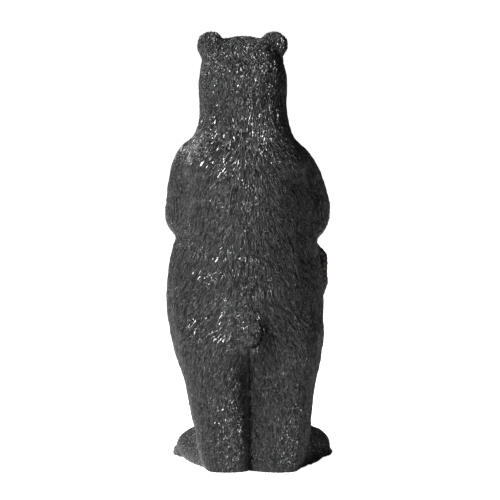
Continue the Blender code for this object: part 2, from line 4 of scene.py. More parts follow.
import bmesh
import bpy
import numpy as np
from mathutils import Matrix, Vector


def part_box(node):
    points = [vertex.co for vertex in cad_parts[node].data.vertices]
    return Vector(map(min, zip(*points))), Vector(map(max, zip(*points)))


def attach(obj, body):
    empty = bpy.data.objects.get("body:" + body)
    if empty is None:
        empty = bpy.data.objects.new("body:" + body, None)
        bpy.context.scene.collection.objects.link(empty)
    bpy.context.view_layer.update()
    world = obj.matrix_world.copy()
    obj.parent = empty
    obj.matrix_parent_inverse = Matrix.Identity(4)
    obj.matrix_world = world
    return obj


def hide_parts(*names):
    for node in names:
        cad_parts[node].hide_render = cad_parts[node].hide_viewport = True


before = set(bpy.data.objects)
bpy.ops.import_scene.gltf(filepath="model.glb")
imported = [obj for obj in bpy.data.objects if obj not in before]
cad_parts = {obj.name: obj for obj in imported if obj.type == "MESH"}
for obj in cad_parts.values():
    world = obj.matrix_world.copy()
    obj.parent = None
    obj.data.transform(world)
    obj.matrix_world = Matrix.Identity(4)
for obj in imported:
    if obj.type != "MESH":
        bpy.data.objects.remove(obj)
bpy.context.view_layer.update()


# Camera and studio. The photograph looks at the statue's back through a long lens, from about five
# metres away and a little above its head, in front of a white sweep that goes down under its feet.

AIM = Vector((-0.0015, 0.0229, 0.305))
CAMERA_HEIGHT = 0.9
CAMERA_DISTANCE = 5.0
FRAME_WIDTH = 0.68975
FILL_LIGHT = 0.07
FLOOR_REACH = 30
WHITE = (1, 1, 1, 1)
PALE_FLOOR = (0.85, 0.85, 0.85, 1)

camera_data = bpy.data.cameras.new("camera")
camera_data.lens = camera_data.sensor_width * CAMERA_DISTANCE / FRAME_WIDTH
camera_data.clip_end = 100
camera = bpy.data.objects.new("camera", camera_data)
rise = CAMERA_HEIGHT - AIM.z
camera.location = AIM + Vector((0, math.sqrt(CAMERA_DISTANCE**2 - rise**2), rise))
camera.rotation_euler = (AIM - camera.location).to_track_quat("-Z", "Y").to_euler()
bpy.context.scene.collection.objects.link(camera)
bpy.context.scene.camera = camera
bpy.context.scene.view_settings.view_transform = "Standard"


def new_piece(name, data):
    """bmesh data made into an object of the scene."""
    mesh = bpy.data.meshes.new(name)
    data.to_mesh(mesh)
    data.free()
    piece = bpy.data.objects.new(name, mesh)
    bpy.context.scene.collection.objects.link(piece)
    return piece


def softbox(name, place, aim, size, power):
    """An area light turned towards what it lights."""
    light = bpy.data.lights.new(name, "AREA")
    light.shape = "RECTANGLE"
    light.size, light.size_y = size
    light.energy = power
    lamp = bpy.data.objects.new(name, light)
    lamp.location = place
    lamp.rotation_euler = (Vector(aim) - Vector(place)).to_track_quat("-Z", "Y").to_euler()
    bpy.context.scene.collection.objects.link(lamp)
    return lamp


softbox("key", (1.35, 1.35, 1.35), (0, 0, 0.42), (0.35, 0.5), 180)
softbox("side", (2.68, 0.72, 0.74), (0, 0, 0.35), (0.3, 0.6), 6)
softbox("back_left", (1.99, -1.39, 1.75), (0, 0, 0.35), (0.5, 1.0), 40)

world = bpy.data.worlds.new("studio")
world.use_nodes = True
sky = world.node_tree.nodes
dim = sky["Background"]
dim.inputs["Color"].default_value = WHITE
dim.inputs["Strength"].default_value = FILL_LIGHT
seen = sky.new("ShaderNodeBackground")
seen.inputs["Color"].default_value = WHITE
mix = sky.new("ShaderNodeMixShader")
world.node_tree.links.new(sky.new("ShaderNodeLightPath").outputs["Is Camera Ray"], mix.inputs["Fac"])
world.node_tree.links.new(dim.outputs["Background"], mix.inputs[1])
world.node_tree.links.new(seen.outputs["Background"], mix.inputs[2])
world.node_tree.links.new(mix.outputs["Shader"], sky["World Output"].inputs["Surface"])
bpy.context.scene.world = world

floor_data = bmesh.new()
bmesh.ops.create_grid(floor_data, x_segments=1, y_segments=1, size=FLOOR_REACH)
floor = new_piece("floor", floor_data)
floor_paint = bpy.data.materials.new("white_floor")
floor_paint.use_nodes = True
sheet = floor_paint.node_tree.nodes
floor_shader = sheet["Principled BSDF"]
floor_shader.inputs["Base Color"].default_value = PALE_FLOOR
floor_shader.inputs["Roughness"].default_value = 0.9
floor_shader.inputs["Emission Color"].default_value = WHITE
floor_paint.node_tree.links.new(
    sheet.new("ShaderNodeLightPath").outputs["Is Camera Ray"], floor_shader.inputs["Emission Strength"]
)
floor.data.materials.append(floor_paint)


# The bear is one hollow casting of resin and stone powder. Its fur is carved as overlapping strands,
# then it is painted black and brushed with silver grey, which catches only on the strands' tops.

SKIN_VOXEL = 0.0026
SKIN_TRIANGLES = 880_000
STRETCH_ROUNDS = 400
SOFTEN_ROUNDS = 6
WELD_DISTANCE = 0.00001
BEAR_PIECES = ("bear_feet", "bear_legs", "bear_haunches", "bear_back", "bear_head")
STRAND_LAYERS = 30
BODY_STRANDS = {"Strand Length": 0.020, "Strand Width": 0.0030, "Strand Turn": 0.16, "Seed": 11}
SHORT_STRANDS = {"Strand Length": 0.013, "Strand Width": 0.0026, "Strand Turn": 0.32, "Seed": 211}
STRAND_DEPTH = 0.0012
HAIR_LAYERS = 6
HAIR_CELLS = (200.0, 200.0, 75.0)
HAIR_SHIFT = (7.3, 3.1, 5.7)
HAIR_LENGTH = 0.014
HAIR_WIDTH = 0.0017
HAIR_DEPTH = 0.0036

# Heights between the strands' feet, 0, and their tops, 1: bare skin, and what stays at the CAD's level
BARE_HEIGHT = 0.4
LEVEL_HEIGHT = 0.55

# The pose is given in hundredths of the statue's height, and stands a little behind the origin
POSE_UNIT = 0.0061
POSE_SHIFT = (0.0004, 0.0230, 0)
HEAD_X = 1.4
MIDDLE_LEAN = 0.014

# Points of the skin that look towards the back have normals past this, in y
BACKWARD = -0.2

# Where the skin is drawn smooth from the neck over the shoulder blades
SLACK_SKIN = (((9.2, 5.0, 73.2), 5.0), ((-8.0, 5.0, 73.2), 5.0))

# Zones of short hair: a place and a radius in the pose, and how softly every zone ends
ZONE_END = 1.15
ZONE_FADE = 0.3
SHORT_HAIR = (
    ((1.4, -2.0, 92.0), 14.0),
    ((6.5, -2.0, 6.0), 15.0),
    ((-8.0, -2.0, 6.0), 15.0),
    ((9.0, -17.0, 55.0), 8.0),
    ((-9.0, -17.0, 55.0), 8.0),
    ((-0.4, 13.0, 33.0), 4.2),
)

# How the fur is combed, in hundredths of the height: a place, then the way the hair lies there
COMB = (
    ((1.4, -19.0, 88.0), (0, 0.6, 0.8)),
    ((1.4, -13.0, 91.0), (0, 0.8, 0.6)),
    ((1.4, -8.0, 96.0), (0, 1, 0.5)),
    ((1.4, 0.0, 99.0), (0, 1, 0)),
    ((1.4, 7.0, 92.0), (0, 0.2, -1)),
    ((9.5, -6.0, 88.0), (0.5, 0.8, -0.6)),
    ((10.5, 0.0, 85.0), (0.1, 0.4, -1)),
    ((1.4, -12.0, 83.0), (0, 0.8, -0.6)),
    ((1.0, 8.0, 78.0), (0, 0.2, -1)),
    ((9.0, 6.0, 74.0), (0.75, 0, -1)),
    ((0.6, 12.0, 62.0), (0, 0, -1)),
    ((8.0, 11.0, 62.0), (0.75, 0, -1)),
    ((0.6, 12.0, 46.0), (0, 0, -1)),
    ((9.0, 10.0, 48.0), (0.8, 0, -1)),
    ((15.0, 0.0, 45.0), (0.2, -0.4, -1)),
    ((9.0, 10.0, 36.0), (0.7, 0, -1)),
    ((17.0, 0.0, 33.0), (0, -0.3, -1)),
    ((6.0, 9.0, 22.0), (0.2, 0, -1)),
    ((14.0, 0.0, 15.0), (-0.1, -0.2, -1)),
    ((5.0, 8.0, 8.0), (0.1, 0, -1)),
    ((9.0, -4.0, 8.0), (0.3, -1, -0.6)),
    ((6.0, -10.0, 20.0), (0, -0.2, -1)),
    ((0.8, -17.0, 40.0), (0, 0, -1)),
    ((10.0, -12.0, 35.0), (-0.3, 0, -1)),
    ((0.8, -15.0, 68.0), (0, 0, -1)),
    ((14.0, 1.0, 70.0), (0.5, -0.2, -1)),
    ((18.0, -1.0, 62.0), (0, -0.2, -1)),
    ((18.0, -5.0, 56.0), (0, -0.9, -0.5)),
    ((13.0, -13.0, 56.0), (-0.3, -1, -0.2)),
)
COMB_REACH = 2

# The groove between the legs and the round tail, cut into the back
GROOVE = {"x": -0.15, "width": 0.5, "depth": 1.1, "top": 31.0, "fade": 3, "behind": 2}
TAIL = {"place": (-0.3, 33.3), "radii": (2.5, 3.2), "lift": 0.5, "behind": 6}
TAIL_CUT = {"depth": 0.75, "ring": 1.1, "width": 0.13, "top": 0.9, "fade": 0.5}

# The eyes and their lids. An opening's half width and half height are degrees seen from the eye's middle
EYE = (3.8, -10.5, 90.9)
EYE_RADIUS = 1.15
EYE_FACING = (0.35, -1, 0.1)
EYE_OPENING = (50, 29)
EYE_SLANT = 0.12
LID_REACH = 2.4
LID_RISE = 0.36
LID_FALL = 0.22

# Nose, feet and paws: feet from heel to toes, and the wrists over the sign
NOSE = (HEAD_X, -17.0, 88.2)
FOOT_ROWS = (((5.4, 2.0), (11.2, -14.6)), ((-7.2, 2.0), (-13.2, -14.6)))
WRISTS = ((10.4, -18.0, 54.8), (-11.2, -18.0, 54.4))
SIGN_FRONT = -20.17

# Zones without hair, as the zones above: nose, eyes, toes and fingers
eye_places = [(HEAD_X + side * EYE[0], EYE[1], EYE[2]) for side in (-1, 1)]
bare_zones = [(NOSE, 2.4)]
bare_zones += [(middle, 1.3) for middle in eye_places]
bare_zones += [((tip[0], tip[1] - 3.6, 0.0), 3.6) for _, tip in FOOT_ROWS]
bare_zones += [((x, SIGN_FRONT - 1.5, z - 4.0), 3.4) for x, _, z in WRISTS]


def finished(piece):
    """The piece with its modifiers made part of a plain mesh."""
    graph = bpy.context.evaluated_depsgraph_get()
    mesh = bpy.data.meshes.new_from_object(piece.evaluated_get(graph))
    piece.modifiers.clear()
    piece.data = mesh
    mesh.name = piece.name
    return piece


def copy_of(node, name):
    """A merged copy of a CAD node's mesh as a piece of its own."""
    data = bmesh.new()
    data.from_mesh(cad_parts[node].data)
    bmesh.ops.remove_doubles(data, verts=data.verts, dist=WELD_DISTANCE)
    return new_piece(name, data)


def fine_skin(node, name):
    """The node's form as an even, smooth skin of small squares that can be carved."""
    skin = copy_of(node, name)
    remesh = skin.modifiers.new("even", "REMESH")
    remesh.mode = "VOXEL"
    remesh.voxel_size = SKIN_VOXEL
    skin = finished(skin)
    slack = near(points_of(skin.data)[0], SLACK_SKIN)
    group = skin.vertex_groups.new(name="slack")
    for index in np.flatnonzero(slack):
        group.add([int(index)], slack[index], "REPLACE")
    stretch = skin.modifiers.new("stretch", "SMOOTH")
    stretch.vertex_group = group.name
    stretch.iterations = STRETCH_ROUNDS
    soften = skin.modifiers.new("soften", "SMOOTH")
    soften.iterations = SOFTEN_ROUNDS
    divide = skin.modifiers.new("divide", "SUBSURF")
    divide.levels = divide.render_levels = 2
    return finished(skin)


def points_of(mesh):
    """The mesh's points and their normals as arrays."""
    count = len(mesh.vertices)
    points = np.empty(count * 3)
    normals = np.empty(count * 3)
    mesh.vertices.foreach_get("co", points)
    mesh.vertices.foreach_get("normal", normals)
    return points.reshape(-1, 3), normals.reshape(-1, 3)


def combed(points, normals):
    """The way the fur lies at each point, along the surface."""
    guides = np.array([spot for spot, _ in COMB]) * POSE_UNIT
    ways = np.array([way for _, way in COMB], float)
    ways /= np.linalg.norm(ways, axis=1)[:, None]
    pose = points - np.array(POSE_SHIFT)
    side = np.where(pose[:, 0] < pose[:, 2] * MIDDLE_LEAN, -1, 1)
    folded = pose * np.stack((side, np.ones(len(side)), np.ones(len(side))), 1)
    total = np.zeros(len(points))
    flow = np.zeros((len(points), 3))
    for guide, way in zip(guides, ways):
        gap = ((folded - guide) ** 2).sum(1)
        weight = 1 / (gap**2 + (COMB_REACH * POSE_UNIT) ** 4)
        total += weight
        flow += weight[:, None] * way
    flow /= total[:, None]
    flow[:, 0] *= side
    flow -= normals * (flow * normals).sum(1)[:, None]
    return flow / np.maximum(np.linalg.norm(flow, axis=1), 1e-9)[:, None]


def give_attribute(mesh, name, kind, values):
    """Values kept on the mesh's points under a name."""
    slot = "vector" if kind == "FLOAT_VECTOR" else "value"
    mesh.attributes.new(name, kind, "POINT").data.foreach_set(slot, np.ravel(values))


def values_of(mesh, name):
    """The values kept on the mesh's points under a name."""
    held = mesh.attributes[name]
    size, slot = (3, "vector") if held.data_type == "FLOAT_VECTOR" else (1, "value")
    values = np.empty(len(mesh.vertices) * size)
    held.data.foreach_get(slot, values)
    return values.reshape(-1, 3) if size == 3 else values


class Tree:
    """A node tree under construction, with short ways to add nodes and join them."""

    def __init__(self, tree):
        self.tree = tree

    def add(self, kind, inputs=None, **settings):
        """A new node with its settings, its inputs given as values or joined to outputs."""
        node = self.tree.nodes.new(kind)
        for name, value in settings.items():
            setattr(node, name, value)
        for name, value in (inputs or {}).items():
            if isinstance(value, bpy.types.NodeSocket):
                self.tree.links.new(value, node.inputs[name])
            else:
                node.inputs[name].default_value = value
        return node

    def sum(self, operation, *values, **settings):
        """The result of a Math node."""
        kind = "ShaderNodeMath"
        return self.add(kind, dict(enumerate(values)), operation=operation, **settings).outputs[0]

    def vector(self, operation, *values):
        """The result of a Vector Math node: a number for a dot product, else a vector."""
        node = self.add("ShaderNodeVectorMath", dict(enumerate(values)), operation=operation)
        return node.outputs["Value" if operation in ("DOT_PRODUCT", "LENGTH") else "Vector"]

    def scaled(self, vector, factor):
        """A vector made longer by a factor."""
        node = self.add("ShaderNodeVectorMath", {0: vector, "Scale": factor}, operation="SCALE")
        return node.outputs["Vector"]

    def join(self, output, given):
        """A link from an output to an input."""
        self.tree.links.new(output, given)

    def close(self, geometry, material, result):
        """The last nodes of a Geometry Nodes tree: real meshes in one material."""
        whole = self.add("GeometryNodeRealizeInstances", {"Geometry": geometry})
        inputs = {"Geometry": whole.outputs["Geometry"], "Material": material}
        done = self.add("GeometryNodeSetMaterial", inputs)
        self.join(done.outputs["Geometry"], result.inputs["Geometry"])


def modifier_tree(name, inputs):
    """An empty Geometry Nodes tree with named inputs, and its input and output nodes."""
    group = bpy.data.node_groups.new(name, "GeometryNodeTree")
    group.interface.new_socket("Geometry", in_out="OUTPUT", socket_type="NodeSocketGeometry")
    group.interface.new_socket("Geometry", in_out="INPUT", socket_type="NodeSocketGeometry")
    for label, kind, value in inputs:
        socket = group.interface.new_socket(label, in_out="INPUT", socket_type="NodeSocket" + kind)
        if value is not None:
            socket.default_value = value
    tree = Tree(group)
    return tree, tree.add("NodeGroupInput"), tree.add("NodeGroupOutput")


def grown(piece, group, values):
    """The piece with a Geometry Nodes tree run on it, its inputs set by their identifiers."""
    modifier = piece.modifiers.new(group.name, "NODES")
    modifier.node_group = group
    for item in group.interface.items_tree:
        if item.in_out == "INPUT" and item.name in values:
            modifier[item.identifier] = values[item.name]
    return finished(piece)


def fur_tree():
    """Raises overlapping strands in the skin's fur_height. The skin knows how it is combed."""
    inputs = (
        ("Strand Length", "Float", 0.02),
        ("Strand Width", "Float", 0.003),
        ("Strand Turn", "Float", 0.15),
        ("Layers", "Int", 20),
        ("Seed", "Int", 0),
        ("Material", "Material", None),
    )
    tree, given, result = modifier_tree("carved_fur", inputs)
    size = given.outputs

    def read(name, kind="FLOAT"):
        node = tree.add("GeometryNodeInputNamedAttribute", {"Name": name}, data_type=kind)
        return node.outputs["Attribute"]

    def dice(low, high, seed):
        node = tree.add("FunctionNodeRandomValue", {2: low, 3: high, "Seed": seed}, data_type="FLOAT")
        return node.outputs[1]

    shuffle = tree.add(
        "GeometryNodeSortElements",
        {"Geometry": size["Geometry"], "Sort Weight": dice(0.0, 1.0, size["Seed"])},
        domain="FACE",
    )
    start = tree.add("GeometryNodeRepeatInput", {"Iterations": size["Layers"]})
    layer_end = tree.add("GeometryNodeRepeatOutput")
    start.pair_with_output(layer_end)
    layer_end.repeat_items.clear()
    layer_end.repeat_items.new("GEOMETRY", "Skin")
    layer_end.repeat_items.new("INT", "Round")
    tree.join(shuffle.outputs["Geometry"], start.inputs["Skin"])
    skin = start.outputs["Skin"]
    seed = tree.sum("ADD", start.outputs["Round"], size["Seed"])
    spread = tree.sum("MULTIPLY_ADD", tree.sum("FRACT", tree.sum("MULTIPLY", seed, 0.618)), 0.3, 0.75)
    normal = tree.add("GeometryNodeInputNormal").outputs["Normal"]
    place = tree.add("GeometryNodeInputPosition").outputs["Position"]
    roots = tree.add(
        "GeometryNodeDistributePointsOnFaces",
        {
            "Mesh": skin,
            "Selection": tree.sum("GREATER_THAN", read("fur_zone"), dice(0.2, 0.8, seed)),
            "Distance Min": tree.sum("MULTIPLY", size["Strand Length"], spread),
            "Density Max": tree.sum("DIVIDE", 8.0, tree.sum("POWER", size["Strand Length"], 2.0)),
            "Seed": seed,
        },
        distribute_method="POISSON",
    )
    nearest = tree.add("GeometryNodeSampleNearest", {"Geometry": roots.outputs["Points"]}, domain="POINT")

    def from_root(value, kind="FLOAT"):
        node = tree.add("GeometryNodeSampleIndex", data_type=kind, domain="POINT")
        tree.join(roots.outputs["Points"], node.inputs["Geometry"])
        tree.join(nearest.outputs["Index"], node.inputs["Index"])
        tree.join(value, next(socket for socket in node.inputs if socket.name == "Value" and socket.enabled))
        return next(socket for socket in node.outputs if socket.name == "Value" and socket.enabled)

    def own(low, high, salt):
        return from_root(dice(low, high, tree.sum("ADD", seed, float(salt))))

    root = from_root(place, "FLOAT_VECTOR")
    lie = from_root(read("comb", "FLOAT_VECTOR"), "FLOAT_VECTOR")
    root_normal = from_root(roots.outputs["Normal"], "FLOAT_VECTOR")
    length = tree.sum("MULTIPLY", own(0.6, 1.0, 100), size["Strand Length"])
    width = tree.sum("MULTIPLY", own(0.75, 1.2, 200), size["Strand Width"])
    turn = tree.sum("MULTIPLY", own(-1.7, 1.7, 300), size["Strand Turn"])
    bend = own(-0.12, 0.12, 400)
    top = own(0.5, 1.0, 500)
    sideways = tree.vector("CROSS_PRODUCT", root_normal, lie)
    cosine = tree.sum("COSINE", turn)
    sine = tree.sum("SINE", turn)
    way = tree.vector("ADD", tree.scaled(lie, cosine), tree.scaled(sideways, sine))
    across = tree.vector("SUBTRACT", tree.scaled(sideways, cosine), tree.scaled(lie, sine))
    offset = tree.vector("SUBTRACT", place, root)
    along = tree.sum("DIVIDE", tree.vector("DOT_PRODUCT", offset, way), tree.sum("MULTIPLY", length, 0.5))
    curl = tree.sum("MULTIPLY", tree.sum("MULTIPLY", bend, length), tree.sum("POWER", along, 2.0))
    side = tree.sum("SUBTRACT", tree.vector("DOT_PRODUCT", offset, across), curl)
    taper = tree.sum("MULTIPLY_ADD", tree.sum("ABSOLUTE", along), -0.7, 1.1, use_clamp=True)
    half_width = tree.sum("MULTIPLY", tree.sum("MULTIPLY", width, 0.5), tree.sum("MAXIMUM", taper, 0.15))
    ratio = tree.sum("ABSOLUTE", tree.sum("DIVIDE", side, half_width))
    ridge = tree.sum("SUBTRACT", 1.0, tree.sum("POWER", ratio, 1.1), use_clamp=True)
    rise = tree.sum("MULTIPLY", tree.sum("ADD", along, 1.0), 1.1, use_clamp=True)
    fall = tree.sum("MULTIPLY", tree.sum("SUBTRACT", 1.0, along), 2.5, use_clamp=True)
    facing = tree.sum("GREATER_THAN", tree.vector("DOT_PRODUCT", normal, root_normal), 0.2)
    shape = tree.sum("MULTIPLY", tree.sum("MULTIPLY", rise, fall), tree.sum("MULTIPLY", top, facing))
    raised = tree.sum("MAXIMUM", read("fur_height"), tree.sum("MULTIPLY", ridge, shape))
    kept = tree.add(
        "GeometryNodeStoreNamedAttribute",
        {"Geometry": skin, "Name": "fur_height", "Value": raised},
        data_type="FLOAT",
        domain="POINT",
    )
    tree.join(kept.outputs["Geometry"], layer_end.inputs["Skin"])
    tree.join(tree.sum("ADD", start.outputs["Round"], 1.0), layer_end.inputs["Round"])
    tree.close(layer_end.outputs["Skin"], size["Material"], result)
    return tree.tree


def in_metres(point):
    """A place in the pose, in metres."""
    return np.array(point) * POSE_UNIT + np.array(POSE_SHIFT)


def near(points, zones):
    """1 inside the zones, each a place and a radius in the pose, down to 0 a little outside them."""
    pose = (points - np.array(POSE_SHIFT)) / POSE_UNIT
    share = np.zeros(len(points))
    for middle, radius in zones:
        gap = np.linalg.norm(pose - np.array(middle), axis=1) / radius
        share = np.maximum(share, np.clip((ZONE_END - gap) / ZONE_FADE, 0, 1))
    return share


def eyelids(points):
    """Presses the eyes' openings into the skin and raises a lid round each."""
    moved = points.copy()
    for middle, side in zip(eye_places, (-1, 1)):
        forward = np.array((side * EYE_FACING[0], *EYE_FACING[1:]))
        forward /= np.linalg.norm(forward)
        right = np.cross(forward, (0, 0, 1))
        right /= np.linalg.norm(right)
        up = np.cross(right, forward)
        offset = (points - in_metres(middle)) / POSE_UNIT
        reach = np.linalg.norm(offset, axis=1)
        close = reach < LID_REACH
        level = np.degrees(np.arctan2(offset @ right, offset @ forward))
        height = np.degrees(np.arctan2(offset @ up, offset @ forward)) + EYE_SLANT * level * side
        opening = np.sqrt((level / EYE_OPENING[0]) ** 2 + (height / EYE_OPENING[1]) ** 2)
        rise = LID_RISE * np.clip((opening - 0.85) / 0.3, 0, 1)
        fall = LID_FALL * np.clip((opening - 1.2) / 0.8, 0, 1)
        share = np.clip((2.2 - opening) / 0.8, 0, 1) * close
        target = reach + ((1.0 + rise - fall) * EYE_RADIUS - reach) * share
        stretch = (target / np.maximum(reach, 1e-6))[:, None]
        moved[close] = in_metres(middle) + (offset * stretch * POSE_UNIT)[close]
    return moved


def leg_groove(points, normals):
    """Cuts the narrow groove between the legs deeper, on the side of the back."""
    pose = (points - np.array(POSE_SHIFT)) / POSE_UNIT
    share = np.exp(-(((pose[:, 0] - GROOVE["x"]) / GROOVE["width"]) ** 2))
    behind = (normals[:, 1] > BACKWARD) * (pose[:, 1] > GROOVE["behind"])
    share *= np.clip((GROOVE["top"] - pose[:, 2]) / GROOVE["fade"], 0, 1) * behind
    moved = points.copy()
    moved[:, 1] -= GROOVE["depth"] * POSE_UNIT * share
    return moved


def tail_knob(points, normals):
    """Sets the round tail off from the back with a narrow cut along its sides and end."""
    pose = (points - np.array(POSE_SHIFT)) / POSE_UNIT
    across = (pose[:, 0] - TAIL["place"][0]) / TAIL["radii"][0]
    upward = (pose[:, 2] - TAIL["place"][1]) / TAIL["radii"][1]
    reach = np.hypot(across, upward)
    cut = np.exp(-(((reach - TAIL_CUT["ring"]) / TAIL_CUT["width"]) ** 2))
    cut *= np.clip((TAIL_CUT["top"] - upward) / TAIL_CUT["fade"], 0, 1)
    knob = np.clip(1 - reach**2, 0, 1)
    moved = points.copy()
    behind = (pose[:, 1] > TAIL["behind"]) & (normals[:, 1] > BACKWARD)
    moved[:, 1] += (knob * TAIL["lift"] - cut * TAIL_CUT["depth"]) * POSE_UNIT * behind
    return moved


def fewer(piece, triangles):
    """The piece with its flattest triangles merged, down to about the number given."""
    thin = piece.modifiers.new("fewer", "DECIMATE")
    thin.ratio = min(1, triangles / (2 * len(piece.data.polygons)))
    piece.modifiers.new("triangles", "TRIANGULATE")
    return finished(piece)


def bands(piece, names):
    """The piece cut level into as many closed pieces of like numbers of triangles, bottom to top."""
    mesh = piece.data
    points, normals = points_of(mesh)
    corners = np.empty(len(mesh.loops), int)
    mesh.loops.foreach_get("vertex_index", corners)
    faces = corners.reshape(-1, 3)
    level = points[faces, 2].mean(1)
    limits = np.quantile(level, np.linspace(0, 1, len(names) + 1))
    kept = {name: values_of(mesh, name) for name in ("fur_height", "short_hair", "furred", "comb")}
    made = []
    for name, low, high in zip(names, limits, limits[1:]):
        chosen = faces[(level >= low) & (level < high if name != names[-1] else level <= high)]
        used, inverse = np.unique(chosen, return_inverse=True)
        part = bpy.data.meshes.new(name)
        part.from_pydata(points[used], [], inverse.reshape(-1, 3))
        for label, values in kept.items():
            give_attribute(part, label, "FLOAT" if values.ndim == 1 else "FLOAT_VECTOR", values[used])
        data = bmesh.new()
        data.from_mesh(part)
        rims = [edge for edge in data.edges if edge.is_boundary]
        caps = bmesh.ops.holes_fill(data, edges=rims, sides=0)["faces"]
        bmesh.ops.triangulate(data, faces=caps)
        data.to_mesh(part)
        data.free()
        part.shade_smooth()
        part.normals_split_custom_set_from_vertices(normals[used])
        band = bpy.data.objects.new(name, part)
        bpy.context.scene.collection.objects.link(band)
        made.append(band)
    bpy.data.objects.remove(piece)
    return made


casting_paint = bpy.data.materials.new("brushed_black_casting")
casting = fine_skin("bear", "bear_casting")
skin_points, skin_normals = points_of(casting.data)
give_attribute(casting.data, "comb", "FLOAT_VECTOR", combed(skin_points, skin_normals))
give_attribute(casting.data, "fur_height", "FLOAT", np.zeros(len(skin_points)))
short = near(skin_points, SHORT_HAIR)
give_attribute(casting.data, "fur_zone", "FLOAT", 1 - short)
fur = fur_tree()
casting = grown(casting, fur, {**BODY_STRANDS, "Layers": STRAND_LAYERS, "Material": casting_paint})
casting.data.attributes["fur_zone"].data.foreach_set("value", short)
casting = grown(casting, fur, {**SHORT_STRANDS, "Layers": STRAND_LAYERS, "Material": casting_paint})
fur_height = values_of(casting.data, "fur_height")
furred = 1 - near(skin_points, bare_zones)
give_attribute(casting.data, "furred", "FLOAT", furred)
give_attribute(casting.data, "short_hair", "FLOAT", short)
fur_height = BARE_HEIGHT + (fur_height - BARE_HEIGHT) * furred
skin_points = leg_groove(eyelids(skin_points), skin_normals)
skin_points = tail_knob(skin_points, skin_normals)
carved = skin_points + skin_normals * ((fur_height - LEVEL_HEIGHT) * STRAND_DEPTH)[:, None]
casting.data.vertices.foreach_set("co", carved.ravel())
casting.data.attributes["fur_height"].data.foreach_set("value", fur_height)
casting = fewer(casting, SKIN_TRIANGLES)
bears = bands(casting, BEAR_PIECES)


def noise(tree, place, scale, detail=4.0, rough=0.55, stretch=(1, 1, 1)):
    """Values of a noise at a place, drawn out along an axis by its stretch."""
    spread = tree.add("ShaderNodeMapping", {"Vector": place, "Scale": stretch})
    inputs = {"Vector": spread.outputs["Vector"], "Scale": scale, "Detail": detail, "Roughness": rough}
    return tree.add("ShaderNodeTexNoise", inputs).outputs["Fac"]


def blend(tree, share, low, high):
    """A colour between two, by a share from 0 to 1."""
    node = tree.add("ShaderNodeMix", {"Factor": share}, data_type="RGBA")
    for value, socket in ((low, node.inputs[6]), (high, node.inputs[7])):
        if isinstance(value, bpy.types.NodeSocket):
            tree.join(value, socket)
        else:
            socket.default_value = value
    return node.outputs[2]


# How often the finish varies in a metre, and how high on a strand the brush starts and ends to catch
PATCH_SCALE = 14.0
BREAK_SCALE = 320.0
GRAIN_SCALE = 1500.0
LUMP_SCALE = 36.0
BRUSH_REACH = (0.90, 1.50)
LOCK_SHARE = 0.4
LUMP_SHARE = 2.2
BLACK = (0.002, 0.002, 0.0021, 1)
SILVER = (0.115, 0.115, 0.119, 1)
BLACK_ROUGHNESS = 0.26
SILVER_ROUGHNESS = 0.13


def hand_finish():
    """What every painted part shares: where a dry brush caught, patches, and the resin's grain."""
    group = bpy.data.node_groups.new("hand_finish", "ShaderNodeTree")
    group.interface.new_socket("Place", in_out="INPUT", socket_type="NodeSocketVector")
    group.interface.new_socket("Height", in_out="INPUT", socket_type="NodeSocketFloat")
    group.interface.new_socket("Brushed", in_out="OUTPUT", socket_type="NodeSocketFloat")
    group.interface.new_socket("Patches", in_out="OUTPUT", socket_type="NodeSocketFloat")
    group.interface.new_socket("Grain", in_out="OUTPUT", socket_type="NodeSocketFloat")
    tree = Tree(group)
    given = tree.add("NodeGroupInput").outputs
    result = tree.add("NodeGroupOutput")
    patches = noise(tree, given["Place"], PATCH_SCALE)
    breaks = noise(tree, given["Place"], BREAK_SCALE, 3.0)
    grain = noise(tree, given["Place"], GRAIN_SCALE, 2.0)
    caught = tree.sum("MULTIPLY_ADD", patches, 0.30, given["Height"])
    caught = tree.sum("MULTIPLY_ADD", breaks, 0.36, caught)
    brushed = tree.add("ShaderNodeMapRange", {0: caught, 1: BRUSH_REACH[0], 2: BRUSH_REACH[1]})
    tree.join(brushed.outputs[0], result.inputs["Brushed"])
    tree.join(patches, result.inputs["Patches"])
    tree.join(grain, result.inputs["Grain"])
    return group


